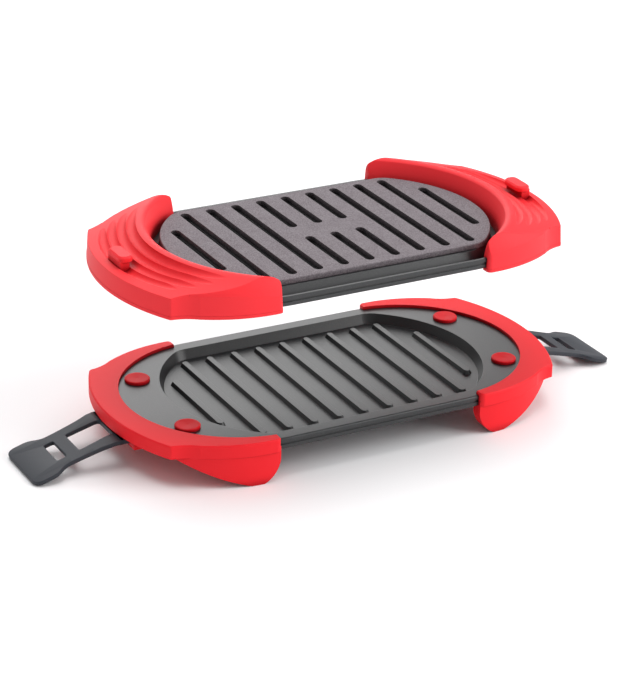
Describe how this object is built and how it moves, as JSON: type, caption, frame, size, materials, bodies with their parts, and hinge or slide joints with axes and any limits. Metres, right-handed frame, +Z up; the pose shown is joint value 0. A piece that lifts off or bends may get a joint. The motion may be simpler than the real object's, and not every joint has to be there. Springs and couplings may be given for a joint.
{
  "type": "microwave grill pan",
  "caption": "Two ribbed metal plates with microwave-absorbing backs, set in silicone end grips; a lift-off lid is held shut by a hinged elastic strap at each end.",
  "frame": {"origin": "on the table under the middle of the pan", "axes": "+X along the length towards the right-hand strap, +Y to the back, +Z up"},
  "size_m": [0.414, 0.1582, 0.1332],
  "materials": {
    "plate": "non-stick coated, satin",
    "absorber": "matte, ferrite-loaded silicone",
    "base_grip": "moulded silicone, semi-matte",
    "lid_grip": "moulded silicone, semi-matte",
    "stud": "moulded silicone, semi-gloss",
    "strap": "moulded elastomer, matte"
  },
  "bodies": {
    "base": {"lower_plate": "plate", "lower_heater": "absorber", "lower_grip_left": "base_grip", "lower_grip_right": "base_grip", "lower_stud_left_front": "stud", "lower_stud_left_back": "stud", "lower_stud_right_front": "stud", "lower_stud_right_back": "stud", "strap_left_anchor": "strap", "strap_right_anchor": "strap"},
    "lid": {"upper_plate": "plate", "upper_heater": "absorber", "upper_grip_left": "lid_grip", "upper_grip_right": "lid_grip", "upper_stud_left_front": "stud", "upper_stud_left_back": "stud", "upper_stud_right_front": "stud", "upper_stud_right_back": "stud"},
    "left_strap_arm": {"strap_left_arm": "strap"},
    "left_strap_tab": {"strap_left_tab": "strap"},
    "right_strap_arm": {"strap_right_arm": "strap"},
    "right_strap_tab": {"strap_right_tab": "strap"}
  },
  "joints": [
    {"name": "lid_lift", "type": "slide", "parent": "base", "child": "lid", "axis": [0, 0, 1], "range_m": [-0.0817, 0]},
    {"name": "left_strap_swing", "type": "hinge", "parent": "base", "child": "left_strap_arm", "pos_m": [-0.1525, 0, 0.0173], "axis": [0, 1, 0], "range_deg": [0, 106]},
    {"name": "left_strap_fold", "type": "hinge", "parent": "left_strap_arm", "child": "left_strap_tab", "pos_m": [-0.17745, 0, 0.00999], "axis": [0, 1, 0], "range_deg": [0, 38]},
    {"name": "right_strap_swing", "type": "hinge", "parent": "base", "child": "right_strap_arm", "pos_m": [0.1525, 0, 0.0173], "axis": [0, -1, 0], "range_deg": [0, 106]},
    {"name": "right_strap_fold", "type": "hinge", "parent": "right_strap_arm", "child": "right_strap_tab", "pos_m": [0.17745, 0, 0.00999], "axis": [0, -1, 0], "range_deg": [0, 38]}
  ]
}
